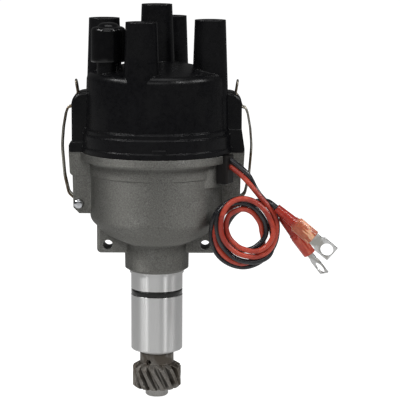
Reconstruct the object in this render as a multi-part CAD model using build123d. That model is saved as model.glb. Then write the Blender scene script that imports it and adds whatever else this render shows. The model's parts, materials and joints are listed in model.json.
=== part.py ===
from build123d import *

import math
import os

# A breakerless ignition distributor for a four-cylinder engine, in millimetres.
# The origin is on the pilot's axis, in the plane of the shoulder that seats on the engine block.
# +Z runs up the shaft to the cap, +X to the clip beside the leads, -Y to the lead side.

# ---- driving sizes: pilot, bearings and shaft -------------------------------------------
pilot_radius = 14.2875  # a 1 1/8 inch pilot
pilot_length = 43.5
pilot_chamfer = 0.6
seal_groove_top = 8.9  # below the shoulder
seal_groove_width = 3.4
seal_groove_depth = 1.6
seal_under_flush = 0.04
shaft_radius = 6.35  # a half-inch shaft
shaft_end_length = 5.0  # below the gear
shaft_end_chamfer = 0.8
journal_radius = 4.0  # upper end, on which the cam sleeve turns
journal_rise = 1.3
running_gap = 0.04  # radial, on every turning fit
bushing_wall = 2.55
upper_bushing_base = 4.0
lower_bushing_length = 17.0
bushing_recess = 0.6
oil_well_extra = 0.7
thrust_gap = 0.15
thrust_washer_thickness = 1.5

# ---- driving sizes: housing; each depth is below the joint --------------------------------
land_step = 0.7125
land_height = 1.2
neck_step = 3.3
neck_draft = 0.2
neck_chamfer_top = 2.9
neck_top = 17.2
bowl_knee_radius = 28.2
bowl_knee_height = 21.7
bowl_side_radius = 36.7
bowl_side_height = 30.4
bowl_step = 0.5
bowl_step_depth = 12.2
rim_overhang = 5.6
rim_height = 4.2
joint_height = 67.7  # where the cap sits on the rim
bowl_wall = 3.1
ledge_depth = 17.7
ledge_step = 1.6
bowl_floor = 24.0
bowl_floor_radius = 26.3
boss_height = 26.0
boss_radius = 12.0
ear_reach = 32.8
ear_half_thickness = 7.5
ear_bottom = 11.6
ear_top = 30.0
ear_hole_radius = 2.6
ear_hole_reach = 26.7
ear_hole_height = 16.4
lug_half_width = 7.5
lug_top_overhang = 5.7
lug_top_taper = 0.6
lug_step_depth = 11.7
lug_overhang = 3.7
lug_taper = 0.4
lug_depth = 34.0
lug_bevel = 3.3
lug_slot_half_width = 5.0
lug_slot_floor_depth = 28.9
lug_slot_top_depth = 20.7

# ---- driving sizes: cap; each rise is above the joint -------------------------------------
skirt_inset = 0.7
skirt_lip_rise = 3.0
skirt_lip_step = 0.6
skirt_rise = 10.2
skirt_ring_rise = 13.0
skirt_ring_inset = 0.8  # from the skirt's wall
skirt_pad_start = -1.4
skirt_pad_width = 7.2
skirt_pad_height = 2.2
cap_body_inset = 3.1
cap_body_draft = 1.0
cap_edge_rise = 42.9
cap_edge_round = 4.5
deck_dome_radius = 30.0
deck_dome_rise = 44.9
deck_rise = 49.5
cap_wall = 4.6
cap_roof_rise = 37.8
spigot_depth = 1.2
spigot_wall = 1.2
spigot_gap = 0.1
tower_circle_radius = 29.9
tower_count = 4
tower_angle = -14.5  # of the first plug tower, about +Z from +X
tower_rise = 72.1
tower_top_radius = 8.4
tower_draft = 2.0
centre_tower_rise = 80.1
centre_tower_radius = 8.3
centre_tower_draft = 2.3
socket_radius = 4.0
socket_depth = 18.5
socket_lead_in = 0.8
insert_radius = 3.0
insert_rise = 14.3
insert_boss_wall = 1.9
insert_boss_rise = 22.3
centre_boss_radius = 6.2
centre_boss_rise = 28.8
centre_insert_rise = 42.3
cap_ear_overhang = 4.1
cap_ear_rise = 33.2
cap_ear_round = 7.3
cap_ear_half_width = 7.5
# where each ear's foot starts to narrow and where it meets the ear, left and right
cap_foot_rises = {-1: (3.7, 5.3), 1: (2.0, 12.6)}
vent_neck_radius = 6.2
vent_x = -25.7
vent_y = -15.0
vent_neck_rise = 58.3
vent_hole_radius = 2.2
vent_cap_radius = 9.4
vent_cap_base_rise = 50.0
vent_cap_rise = 68.8
vent_cap_round = 2.4
vent_dome_radius = 6.2
vent_dome_rise = 71.1

# ---- driving sizes: advance mechanism ----------------------------------------------------
plate_seat_radius = 5.0
base_plate_thickness = 2.0
base_plate_radius = 24.5
plate_notch_radius = 8.0
plate_notch_turn = 12.0  # degrees, to clear the spring posts
weight_pivot_radius = 18.0  # of the pivot pins, about the shaft
pivot_pin_radius = 2.0
pivot_clip_radius = 3.6
pivot_clip_thickness = 0.6
weight_thickness = 5.0
weight_gap = 0.3
weight_outer_radius = 24.5
weight_inner_radius = 14.0
weight_end_angle = -112.0
weight_boss_radius = 4.6
weight_bar_width = 7.0
weight_bar_inner = 7.5
drive_peg_circle = 10.5
drive_peg_radius = 1.4
peg_slot_gap = 0.35
peg_slot_shift = 0.22
peg_slot_stretch = 0.45
yoke_thickness = 2.0
yoke_gap = 0.4
yoke_half_width = 4.2
sleeve_radius = 6.5
sleeve_seat_rise = 0.6
sleeve_rise = 6.3
sleeve_well_radius = 5.4
sleeve_well_depth = 7.5
circlip_rise = 0.3
circlip_thickness = 0.8
circlip_radius = 5.1
circlip_groove_radius = 3.4
circlip_opening = 40.0  # degrees
wick_inset = 0.6
spring_post_radius = 1.1
spring_post_rise = 4.0
spring_floor_gap = 0.4
spring_body_radius = 2.1
spring_wire = 0.5
spring_plate_post = (-19.9, -9.3)
spring_weight_post = (-3.3, -18.7)

# ---- driving sizes: trigger and rotor ----------------------------------------------------
magnet_ring_radius = 13.4
magnet_ring_rise = 2.9
magnet_ring_height = 7.0
pole_count = 4
pole_notch_radius = 3.0
module_plate_thickness = 1.6
module_plate_hole = 16.0
plate_screw_circle = 30.2
plate_screw_radius = 1.9
plate_screw_grip = 6.0
module_screw_radius = 1.5
module_screw_grip = 3.0
module_foot_reach = 22.0
module_foot_half_width = 19.5
module_foot_height = 2.4
outlet_half_width = 4.6
outlet_inner = 24.0
lead_azimuth = -25.0  # of the module, the grommet and the leads
module_inner = 16.2
module_outer = 30.5
module_half_width = 13.0
module_height = 10.4
sensor_half_width = 4.0
sensor_gap = 0.9
rotor_hub_radius = 9.5
rotor_hub_depth = 3.3
rotor_disc_rise = 11.8
rotor_disc_radius = 16.0
rotor_arm_reach = 22.5
rotor_arm_half_width = 5.0
rotor_rise = 15.7
electrode_half_width = 3.0
electrode_thickness = 1.6
spark_gap = 0.8
contact_rise = 23.1
contact_thickness = 0.5
brush_radius = 2.5
brush_rise = 36.3
brush_gap = 0.15

# ---- driving sizes: drive gear -----------------------------------------------------------
gear_teeth = 15
gear_tip_radius = 13.45
gear_pitch_radius = 12.05
gear_root_radius = 10.4
gear_tip_share = 0.36  # of the tooth pitch, filled by the tooth at each radius
gear_pitch_share = 0.56
gear_root_share = 0.76
gear_hub_length = 5.85  # from the thrust washer to the shoulder above the teeth
gear_width = 14.2
gear_shoulder = 2.4  # height over which the hub widens to the teeth
gear_helix = 27.0
gear_hub_radius = 9.4
gear_edge = 1.3
gear_pin_radius = 1.55
gear_pin_recess = 1.2  # at each end, below the hub's side
gear_pin_bore = 1.05  # of the rolled spring pin
gear_pin_inset = 4.85  # below the top of the hub
gear_pin_azimuth = -118.0

# ---- driving sizes: clips ----------------------------------------------------------------
clip_wire_radius = 0.6
clip_leg_offset = 3.5
clip_pivot_inset = 3.4
clip_pivot_depth = 28.6
clip_pin_radius = 1.5
clip_head_radius = 2.8
clip_head_rise = 1.9
clip_eye_gap = 0.06
# one leg of the bail, from its eye to the finger loop: reach and height from its pivot
clip_leg_run = [
    (5.8, 5.3),
    (8.0, 14.9),
    (9.3, 31.4),
    (8.5, 41.4),
    (7.1, 49.3),
    (5.9, 52.5),
    (3.9, 53.1),
    (2.5, 57.4),
    (0.4, 60.6),
    (1.5, 67.3),
]
clip_radii = [4.0, 30.0, 40.0, 20.0, 8.0, 1.6, 0.9, 4.0, 1.4, 2.6]
clip_ear_point = 6  # of the leg's points, where it first meets the cap's ear
clip_channel_gap = 0.4
clip_channel_half_width = 1.1

# ---- driving sizes: leads ----------------------------------------------------------------
lead_radius = 1.425
lead_fit = 0.02
black_exit_depth = 2.5
red_exit_depth = 6.1
grommet_inset = 0.4
grommet_stand = 5.5  # beyond the pad
grommet_half_width = 4.8
grommet_depth = 15.2
grommet_flange = 1.6
grommet_flange_half_width = 6.4
pad_rise = 1.6
pad_bulge_radius = 20.0
pad_depth = 17.1
# the free stretch of each lead after it leaves the grommet
black_route = [
    (45.6, -21.6, 63.4),
    (50.2, -23.9, 58.2),
    (54.8, -24.6, 51.6),
    (58.9, -24.7, 45.4),
    (61.2, -24.6, 40.0),
]
red_route = [
    (44.9, -21.3, 58.9),
    (49.0, -23.7, 53.9),
    (52.3, -24.8, 48.6),
    (54.9, -24.6, 43.4),
]
coil_x, coil_y, coil_z = 47.9, -25.5, 27.0
coil_mean_radius = 14.8
coil_half_width = 5.3
coil_half_depth = 4.2
black_tail_route = [
    (47.2, -28.2, 43.3),
    (51.7, -28.6, 45.4),
    (56.4, -28.7, 45.9),
    (60.2, -28.3, 44.3),
    (62.9, -28.1, 42.4),
    (64.9, -28.2, 40.75),
]
red_tail_route = [
    (54.5, -21.4, 41.5),
    (59.7, -20.8, 41.3),
    (64.5, -20.4, 38.92),
    (67.95, -20.2, 34.4),
]
grip_mouth_radius = 2.25
grip_radius = 2.9
grip_length = 13.1
grip_ring_radius = 3.2
grip_ring_length = 1.4
barrel_half_width = 4.35
barrel_half_height = 3.2
sleeve_length = 25.4
sleeve_mouth_depth = 2.5
crimp_radius = 2.0
tongue_thickness = 0.8
tongue_neck_length = 3.6
tongue_neck_half_width = 3.5
tongue_half_width = 4.55
tongue_hole_radius = 3.5
tongue_hole_distance = 35.2  # from the sleeve's mouth
tongue_tip = 4.0
black_terminal_roll = 12.0  # turn of each tongue about its lead, from facing -Y
red_terminal_roll = 62.0

# ---- derived: pilot, shaft and bearings -------------------------------------------------
land_radius = pilot_radius + land_step
neck_radius = pilot_radius + neck_step
neck_top_radius = neck_radius + neck_draft
journal_top = joint_height + journal_rise
bushing_radius = shaft_radius + bushing_wall
base_plate_height = boss_height + thrust_gap + thrust_washer_thickness

# ---- derived: housing -------------------------------------------------------------------
bowl_upper_radius = bowl_side_radius + bowl_step
bowl_step_height = joint_height - bowl_step_depth
bowl_inside_radius = bowl_side_radius - bowl_wall
ledge_height = joint_height - ledge_depth
ledge_inside_radius = bowl_inside_radius + ledge_step
rim_radius = bowl_side_radius + rim_overhang
rim_bottom = joint_height - rim_height
lug_top_reach = rim_radius + lug_top_overhang
lug_top_taper_reach = lug_top_reach - lug_top_taper
lug_step_height = joint_height - lug_step_depth
lug_reach = rim_radius + lug_overhang
lug_bottom_reach = lug_reach - lug_taper
lug_bottom = joint_height - lug_depth
lug_slot_floor = joint_height - lug_slot_floor_depth
lug_slot_top = joint_height - lug_slot_top_depth

# ---- derived: cap -----------------------------------------------------------------------
skirt_radius = rim_radius - skirt_inset
skirt_wall_radius = skirt_radius - skirt_lip_step
skirt_lip_top = joint_height + skirt_lip_rise
skirt_top = joint_height + skirt_rise
skirt_ring_radius = skirt_wall_radius - skirt_ring_inset
skirt_ring_top = joint_height + skirt_ring_rise
cap_body_radius = rim_radius - cap_body_inset
cap_deck_radius = cap_body_radius - cap_body_draft
cap_edge_height = joint_height + cap_edge_rise
deck_dome_height = joint_height + deck_dome_rise
deck_top = joint_height + deck_rise
cap_inside_radius = cap_body_radius - cap_wall
cap_roof = joint_height + cap_roof_rise
tower_foot = cap_roof - 1.0
tower_top = joint_height + tower_rise
centre_tower_top = joint_height + centre_tower_rise
insert_bottom = joint_height + insert_rise
insert_boss_bottom = joint_height + insert_boss_rise
centre_boss_bottom = joint_height + centre_boss_rise
centre_insert_bottom = joint_height + centre_insert_rise
cap_ear_reach = rim_radius + cap_ear_overhang
cap_ear_top = joint_height + cap_ear_rise
cap_foot_reach = lug_top_reach
vent_neck_top = joint_height + vent_neck_rise
vent_cap_base = joint_height + vent_cap_base_rise
vent_cap_top = joint_height + vent_cap_rise
vent_dome_top = joint_height + vent_dome_rise

# ---- derived: advance mechanism ---------------------------------------------------------
plate_top = base_plate_height + base_plate_thickness
sleeve_base = plate_top + sleeve_seat_rise
weight_base = plate_top + weight_gap
weight_top = weight_base + weight_thickness
yoke_base = weight_top + yoke_gap
yoke_top = yoke_base + yoke_thickness
sleeve_top = joint_height + sleeve_rise
sleeve_well_floor = sleeve_top - sleeve_well_depth
circlip_base = sleeve_well_floor + circlip_rise
wick_top = sleeve_top - wick_inset

# ---- derived: trigger and rotor ---------------------------------------------------------
module_floor = ledge_height + module_plate_thickness
magnet_ring_base = module_floor + magnet_ring_rise
rotor_hub_base = joint_height - rotor_hub_depth
rotor_disc_base = joint_height + rotor_disc_rise
rotor_top = joint_height + rotor_rise
contact_height = joint_height + contact_rise
brush_top = joint_height + brush_rise
insert_inner_face = tower_circle_radius - insert_radius
electrode_tip = insert_inner_face - spark_gap

# ---- derived: drive gear ----------------------------------------------------------------
gear_washer_top = -pilot_length - thrust_gap
gear_hub_top = gear_washer_top - thrust_washer_thickness
gear_top = gear_hub_top - gear_hub_length
gear_bottom = gear_top - gear_width
gear_pin_height = gear_hub_top - gear_pin_inset
shaft_end = gear_bottom - shaft_end_length

# ---- derived: clips and leads -----------------------------------------------------------
clip_pivot_reach = lug_reach - clip_pivot_inset
clip_pivot_height = joint_height - clip_pivot_depth
clip_leg = [(clip_pivot_reach + out, clip_pivot_height + up) for out, up in clip_leg_run]
black_exit_height = joint_height - black_exit_depth
red_exit_height = joint_height - red_exit_depth
exit_heights = {"black": black_exit_height, "red": red_exit_height}
grommet_inner = bowl_inside_radius - grommet_inset
grommet_bottom = joint_height - grommet_depth
pad_radius = bowl_upper_radius + pad_rise
grommet_outer = pad_radius + grommet_stand
pad_bottom = joint_height - pad_depth
pad_bulge_centre = pad_radius - pad_bulge_radius


def polar(radius, degrees):
    angle = math.radians(degrees)
    return radius * math.cos(angle), radius * math.sin(angle)


def outline(points, rounds=None):
    """A closed outline in the plane of its points; rounds gives a corner's radius by its place."""
    face = make_face(Polyline(*points, close=True))
    for place, radius in (rounds or {}).items():
        corner = min(face.vertices(), key=lambda v: (Vector(*v) - Vector(*points[place])).length)
        face = fillet(corner, radius)
    return face


def turned(points, rounds=None):
    """A solid of revolution about Z from (radius, height) points."""
    return revolve(Plane.XZ * outline(points, rounds), Axis.Z)


def ring(inner, outer, bottom, top):
    return turned([(inner, bottom), (outer, bottom), (outer, top), (inner, top)])


def rod(radius, bottom, top, at=(0, 0)):
    return Pos(at[0], at[1], bottom) * extrude(Circle(radius), top - bottom)


def block(low, high):
    """A box from its lowest to its highest corner."""
    size = [b - a for a, b in zip(low, high)]
    return Pos(*low) * Box(*size, align=(Align.MIN, Align.MIN, Align.MIN))


def side_profile(points, half_width, rounds=None):
    """An outline of (x, z) points, as thick as twice half_width, across Y = 0."""
    return extrude(Plane.XZ * outline(points, rounds), half_width, both=True)


def upright_edges(shape):
    return shape.edges().filter_by(Axis.Z)


def plug_towers():
    """The (x, y) place of each plug tower."""
    return [polar(tower_circle_radius, tower_angle + 360 / tower_count * k) for k in range(tower_count)]


# ---- housing -----------------------------------------------------------------------------
def housing_casting():
    return turned(
        [
            (0, -pilot_length),
            (pilot_radius - pilot_chamfer, -pilot_length),
            (pilot_radius, -pilot_length + pilot_chamfer),
            (pilot_radius, 0),
            (land_radius, 0),
            (land_radius, land_height),
            (neck_radius, neck_chamfer_top),
            (neck_top_radius, neck_top),
            (bowl_knee_radius, bowl_knee_height),
            (bowl_side_radius, bowl_side_height),
            (bowl_side_radius, bowl_step_height),
            (bowl_upper_radius, bowl_step_height),
            (bowl_upper_radius, rim_bottom - 1.2),
            (rim_radius, rim_bottom),
            (rim_radius, joint_height),
            (0, joint_height),
        ],
        {7: 1.6, 8: 22.0, 9: 6.0, 12: 2.0, 13: 0.8},
    )


def mounting_ear(side):
    """A thick cast ear under the bowl, bored across for the adjusting bracket's bolt."""
    reach = side * ear_reach
    plate = side_profile(
        [(0, ear_bottom), (reach, ear_bottom), (reach, ear_top), (0, ear_top)],
        ear_half_thickness,
        {1: 2.3},
    )
    corners = [e for e in upright_edges(plate) if abs(e.center().X) > ear_reach - 1]
    return fillet(corners, 1.8)


def clip_lug(side):
    """The cast block that carries a clip: a wide head under the rim, a narrower stem for the pin."""
    head = side_profile(
        [
            (side * 30, joint_height),
            (side * lug_top_reach, joint_height),
            (side * lug_top_taper_reach, lug_step_height),
            (side * (lug_reach + 0.2), lug_step_height - 1.1),
            (side * 30, lug_step_height - 1.1),
        ],
        lug_half_width,
    )
    stem = side_profile(
        [
            (side * 30, lug_step_height),
            (side * lug_reach, lug_step_height),
            (side * lug_bottom_reach, lug_bottom + lug_bevel),
            (side * (lug_bottom_reach - lug_bevel), lug_bottom),
            (side * 30, lug_bottom),
        ],
        lug_half_width - 0.4,
    )
    return head + stem


def lug_slot(side):
    """The slot in which the clip's eyes turn, open below and outside."""
    inner, outer = sorted((side * lug_slot_floor, side * (lug_top_reach + 5)))
    return block(
        (inner, -lug_slot_half_width, lug_bottom - 5), (outer, lug_slot_half_width, lug_slot_top)
    )


def across(radius, reach, height, half_length):
    """A rod along Y."""
    return Pos(reach, 0, height) * Rot(90, 0, 0) * extrude(Circle(radius), half_length, both=True)


def grommet_slot_box(half_width, inner, outer, bottom, top):
    """A block at the leads' azimuth, from one radius to another."""
    return Rot(0, 0, lead_azimuth) * block((inner, -half_width, bottom), (outer, half_width, top))


def housing():
    body = housing_casting()
    for side in (-1, 1):
        body += mounting_ear(side) + clip_lug(side)
    body += rod(pad_bulge_radius, pad_bottom, joint_height - 1, at=polar(pad_bulge_centre, lead_azimuth))
    body -= turned(
        [
            (0, bowl_floor),
            (bowl_floor_radius, bowl_floor),
            (bowl_inside_radius, bowl_side_height + 0.8),
            (bowl_inside_radius, ledge_height),
            (ledge_inside_radius, ledge_height),
            (ledge_inside_radius, joint_height + 1),
            (0, joint_height + 1),
        ],
        {1: 5.0, 2: 5.0},
    )
    body += rod(boss_radius, bowl_floor - 1, boss_height)
    for side in (-1, 1):
        boss = rod(4.2, ledge_height - 9, ledge_height, at=(0, side * plate_screw_circle))
        body += boss + block(
            (-4.2, min(side * plate_screw_circle, side * 34.6), ledge_height - 9),
            (4.2, max(side * plate_screw_circle, side * 34.6), ledge_height),
        )
        screw_at = (0, side * plate_screw_circle)
        body -= rod(plate_screw_radius, ledge_height - 7, ledge_height + 1, at=screw_at)
    body -= rod(bushing_radius, -pilot_length - 1, -pilot_length + bushing_recess + lower_bushing_length)
    body -= rod(
        shaft_radius + oil_well_extra,
        -pilot_length + bushing_recess + lower_bushing_length - 1,
        upper_bushing_base + 1,
    )
    body -= rod(bushing_radius, upper_bushing_base, boss_height + 1)
    groove_bottom = -seal_groove_top - seal_groove_width
    body -= ring(pilot_radius - seal_groove_depth, pilot_radius + 1, groove_bottom, -seal_groove_top)
    for side in (-1, 1):
        body -= across(ear_hole_radius, side * ear_hole_reach, ear_hole_height, ear_half_thickness + 1)
        body -= lug_slot(side)
        body -= across(clip_pin_radius, side * clip_pivot_reach, clip_pivot_height, lug_half_width + 1)
    body -= grommet_slot_box(grommet_half_width, 30, pad_radius + 10, grommet_bottom, joint_height + 1)
    return body


# ---- bearings and seal -------------------------------------------------------------------
def upper_bushing():
    return ring(shaft_radius + running_gap, bushing_radius, upper_bushing_base, boss_height)


def lower_bushing():
    base = -pilot_length + bushing_recess
    return ring(shaft_radius + running_gap, bushing_radius, base, base + lower_bushing_length)


def o_ring():
    """A seal squeezed in its groove, level with the pilot."""
    inner, outer = pilot_radius - seal_groove_depth, pilot_radius - seal_under_flush
    top, bottom = -seal_groove_top - 0.1, -seal_groove_top - seal_groove_width + 0.1
    section = [(inner, bottom), (outer, bottom), (outer, top), (inner, top)]
    return turned(section, {0: 0.5, 1: 0.7, 2: 0.7, 3: 0.5})


# ---- cap ---------------------------------------------------------------------------------
def tower(top, top_radius, draft, at):
    height = top - tower_foot
    foot_radius = top_radius + height * math.tan(math.radians(draft))
    return Pos(at[0], at[1], tower_foot) * Cone(
        foot_radius, top_radius, height, align=(Align.CENTER, Align.CENTER, Align.MIN)
    )


def tower_skirt(at):
    """The tower's foot, which runs on down the outside of the body."""
    top_radius = tower_top_radius + (tower_top - tower_foot) * math.tan(math.radians(tower_draft))
    height = tower_foot - (skirt_ring_top - 1)
    foot_radius = top_radius + height * math.tan(math.radians(tower_draft)) * 0.5
    return Pos(at[0], at[1], tower_foot - height) * Cone(
        foot_radius, top_radius, height, align=(Align.CENTER, Align.CENTER, Align.MIN)
    )


def socket(top, at):
    mouth = socket_radius + socket_lead_in
    return Pos(at[0], at[1], 0) * turned(
        [
            (0, top - socket_depth),
            (socket_radius, top - socket_depth),
            (socket_radius, top - socket_lead_in),
            (mouth, top),
            (mouth, top + 1),
            (0, top + 1),
        ]
    )


def cap_ear(side):
    """The shoulder on which a clip pulls."""
    reach = side * cap_ear_reach
    ear = side_profile(
        [(side * 30, joint_height), (reach, joint_height), (reach, cap_ear_top), (side * 30, cap_ear_top)],
        cap_ear_half_width,
        {2: cap_ear_round},
    )
    ear = fillet([e for e in upright_edges(ear) if abs(e.center().X) > cap_ear_reach - 1], 2.2)
    narrowing, top = (joint_height + rise for rise in cap_foot_rises[side])
    foot = side_profile(
        [
            (side * 30, joint_height),
            (side * cap_foot_reach, joint_height),
            (side * cap_foot_reach, narrowing),
            (side * cap_ear_reach, top),
            (side * 30, top),
        ],
        cap_ear_half_width + 0.3,
    )
    return ear + fillet([e for e in upright_edges(foot) if abs(e.center().X) > cap_ear_reach], 1.6)


def clip_channels(side):
    """Grooves in the ear for the clip's two legs, open outwards so that the clip swings away."""
    clear = clip_wire_radius + clip_channel_gap
    floor = [(reach - clear, height) for reach, height in clip_leg[clip_ear_point:]]
    start = (floor[0][0], floor[0][1] - 2 * clear)
    outside = cap_ear_reach + 5
    points = [(outside, start[1]), start, *floor, (outside, floor[-1][1])]
    cut = side_profile([(side * reach, height) for reach, height in points], clip_channel_half_width)
    return Pos(0, clip_leg_offset, 0) * cut + Pos(0, -clip_leg_offset, 0) * cut


def distributor_cap():
    body = turned(
        [
            (0, joint_height),
            (skirt_radius, joint_height),
            (skirt_radius, skirt_lip_top),
            (skirt_wall_radius, skirt_lip_top + 0.3),
            (skirt_wall_radius, skirt_top),
            (skirt_ring_radius, skirt_top + 0.3),
            (skirt_ring_radius, skirt_ring_top),
            (cap_body_radius, skirt_ring_top + 0.4),
            (cap_deck_radius, cap_edge_height),
            (deck_dome_radius, deck_dome_height),
            (centre_tower_radius, deck_top),
            (0, deck_top),
        ],
        {2: 0.3, 4: 0.6, 6: 0.5, 8: cap_edge_round, 9: 8.0},
    )
    pad_low = (skirt_pad_start, -skirt_wall_radius - 0.3, skirt_lip_top)
    body += block(pad_low, (skirt_pad_start + skirt_pad_width, -30, skirt_lip_top + skirt_pad_height))
    for at in plug_towers():
        body += tower(tower_top, tower_top_radius, tower_draft, at) + tower_skirt(at)
    body += tower(centre_tower_top, centre_tower_radius, centre_tower_draft, (0, 0))
    body += rod(vent_neck_radius, cap_roof + 1, vent_neck_top, at=(vent_x, vent_y))
    for side in (-1, 1):
        body += cap_ear(side)
    below = joint_height - 1
    inside = [(0, below), (cap_inside_radius, below), (cap_inside_radius, cap_roof), (0, cap_roof)]
    body -= turned(inside, {2: 4.0})
    spigot_outer = ledge_inside_radius - spigot_gap
    body += ring(spigot_outer - spigot_wall, spigot_outer, joint_height - spigot_depth, joint_height + 2)
    body += rod(centre_boss_radius, centre_boss_bottom, cap_roof + 1)
    body -= rod(brush_radius + running_gap, centre_boss_bottom - 1, centre_insert_bottom)
    body -= rod(insert_radius, centre_insert_bottom, centre_tower_top - socket_depth)
    body -= socket(centre_tower_top, (0, 0))
    for at in plug_towers():
        body += rod(insert_radius + insert_boss_wall, insert_boss_bottom, cap_roof + 1, at=at)
        body -= rod(insert_radius, insert_boss_bottom - 1, tower_top - socket_depth, at=at)
        body -= socket(tower_top, at)
    body -= rod(vent_hole_radius, cap_roof - 2, vent_neck_top + 1, at=(vent_x, vent_y))
    for side in (-1, 1):
        body -= clip_channels(side)
    body -= grommet_slot_box(grommet_half_width + 2, 30, skirt_radius - 5, joint_height - 5, joint_height)
    return body


def plug_terminals():
    return [rod(insert_radius, insert_bottom, tower_top - socket_depth, at=at) for at in plug_towers()]


def coil_terminal():
    return rod(insert_radius, centre_insert_bottom, centre_tower_top - socket_depth)


def vent_cap():
    """A push-on cover over the cap's breather neck."""
    shell = turned(
        [
            (0, vent_cap_base),
            (vent_cap_radius, vent_cap_base),
            (vent_cap_radius - 0.2, vent_cap_top),
            (0, vent_cap_top),
        ],
        {1: 0.5, 2: vent_cap_round},
    )
    root = vent_cap_top - 1
    button = [
        (0, root),
        (vent_dome_radius + 0.4, root),
        (vent_dome_radius - 1.6, vent_dome_top - 0.4),
        (0, vent_dome_top),
    ]
    shell += turned(button, {2: 4.0})
    shell -= rod(vent_neck_radius, vent_cap_base - 1, vent_neck_top)
    return Pos(vent_x, vent_y, 0) * shell


def carbon_brush():
    tip = contact_height + brush_gap
    body = turned(
        [(0, tip), (brush_radius, tip), (brush_radius, brush_top), (0, brush_top)], {1: 0.8}
    )
    return body


def brush_spring():
    """The outer shape of a fine compression spring between the brush and its terminal."""
    return ring(brush_radius - 0.9, brush_radius - 0.3, brush_top, centre_insert_bottom)


# ---- shaft and gear ----------------------------------------------------------------------
def main_shaft():
    body = turned(
        [
            (0, shaft_end),
            (shaft_radius - shaft_end_chamfer, shaft_end),
            (shaft_radius, shaft_end + shaft_end_chamfer),
            (shaft_radius, base_plate_height),
            (plate_seat_radius, base_plate_height),
            (plate_seat_radius, sleeve_base),
            (journal_radius, sleeve_base),
            (journal_radius, circlip_base),
            (circlip_groove_radius, circlip_base),
            (circlip_groove_radius, circlip_base + circlip_thickness),
            (journal_radius, circlip_base + circlip_thickness),
            (journal_radius, journal_top),
            (0, journal_top),
        ]
    )
    return body - gear_pin_rod(gear_pin_radius, shaft_radius + 5)


def gear_pin_rod(radius, half_length):
    lying = Rot(0, 0, gear_pin_azimuth) * Rot(0, 90, 0) * extrude(Circle(radius), half_length, both=True)
    return Pos(0, 0, gear_pin_height) * lying


def gear_section():
    """The toothed outline: each tooth's flanks bulge from a wide root to a narrow tip."""
    pitch = 360 / gear_teeth
    flank = [
        (gear_root_radius, gear_root_share),
        (gear_pitch_radius, gear_pitch_share),
        (gear_tip_radius, gear_tip_share),
    ]
    points = []
    for tooth in range(gear_teeth):
        points += [polar(radius, pitch * (tooth - share / 2)) for radius, share in flank]
        points += [polar(radius, pitch * (tooth + share / 2)) for radius, share in reversed(flank)]
    return make_face(Polyline(*points, close=True))


def drive_gear():
    """A left-hand helical gear with its hub, pinned to the shaft."""
    twist = math.degrees(gear_width * math.tan(math.radians(gear_helix)) / gear_pitch_radius)
    section = (Pos(0, 0, gear_bottom) * gear_section()).wire()
    toothed = Solid.extrude_linear_with_rotation(
        section, center=(0, 0, gear_bottom), normal=(0, 0, gear_width), angle=-twist
    )
    edge_radius = gear_tip_radius - gear_edge
    toothed &= turned(
        [
            (0, gear_bottom),
            (edge_radius, gear_bottom),
            (gear_tip_radius + 0.01, gear_bottom + gear_edge * 0.8),
            (gear_tip_radius + 0.01, gear_top - gear_shoulder),
            (gear_hub_radius, gear_top),
            (0, gear_top),
        ]
    )
    hub = turned(
        [
            (0, gear_top - 1),
            (gear_hub_radius, gear_top - 1),
            (gear_hub_radius, gear_hub_top - 0.5),
            (gear_hub_radius - 0.5, gear_hub_top),
            (0, gear_hub_top),
        ]
    )
    body = toothed + hub
    body -= rod(shaft_radius, gear_bottom - 1, gear_hub_top + 1)
    return body - gear_pin_rod(gear_pin_radius, gear_hub_radius + 2)


def gear_pin():
    """A rolled spring pin, a little below the hub's side at each end."""
    half_length = gear_hub_radius - gear_pin_recess
    return gear_pin_rod(gear_pin_radius, half_length) - gear_pin_rod(gear_pin_bore, half_length + 1)


def upper_thrust_washer():
    top = base_plate_height
    return ring(shaft_radius, boss_radius - 1, top - thrust_washer_thickness, top)


def lower_thrust_washer():
    return ring(shaft_radius, gear_hub_radius, gear_hub_top, gear_washer_top)


# ---- advance mechanism -------------------------------------------------------------------
def pivots():
    """The (x, y) places of the two weights' pivot pins."""
    return [(weight_pivot_radius, 0), (-weight_pivot_radius, 0)]


def opposite(shape):
    """The same piece, half a turn round the shaft."""
    return Rot(0, 0, 180) * shape


def weight_base_plate():
    disc = rod(base_plate_radius, base_plate_height, plate_top)
    for quarter in (45, 135, 225, 315):
        notch_at = polar(base_plate_radius + plate_notch_radius * 0.55, quarter + plate_notch_turn)
        disc -= rod(plate_notch_radius, base_plate_height - 1, plate_top + 1, at=notch_at)
    disc -= rod(plate_seat_radius, base_plate_height - 1, plate_top + 1)
    for at in pivots():
        disc -= rod(pivot_pin_radius, base_plate_height - 1, plate_top + 1, at=at)
    post_top = weight_top + spring_post_rise
    post = rod(spring_post_radius, plate_top, post_top, at=spring_plate_post)
    return disc + post + opposite(post)


def weight_pivot_pins():
    head = weight_top + weight_gap + pivot_clip_thickness
    return [rod(pivot_pin_radius, base_plate_height, head + 0.8, at=at) for at in pivots()]


def pivot_clips():
    bottom = weight_top + weight_gap
    clip = ring(pivot_pin_radius, pivot_clip_radius, bottom, bottom + pivot_clip_thickness)
    clip -= block((0.8, -0.9, bottom - 1), (pivot_clip_radius + 1, 0.9, bottom + 2))
    clip = Pos(weight_pivot_radius, 0, 0) * clip
    return [clip, opposite(clip)]


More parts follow.
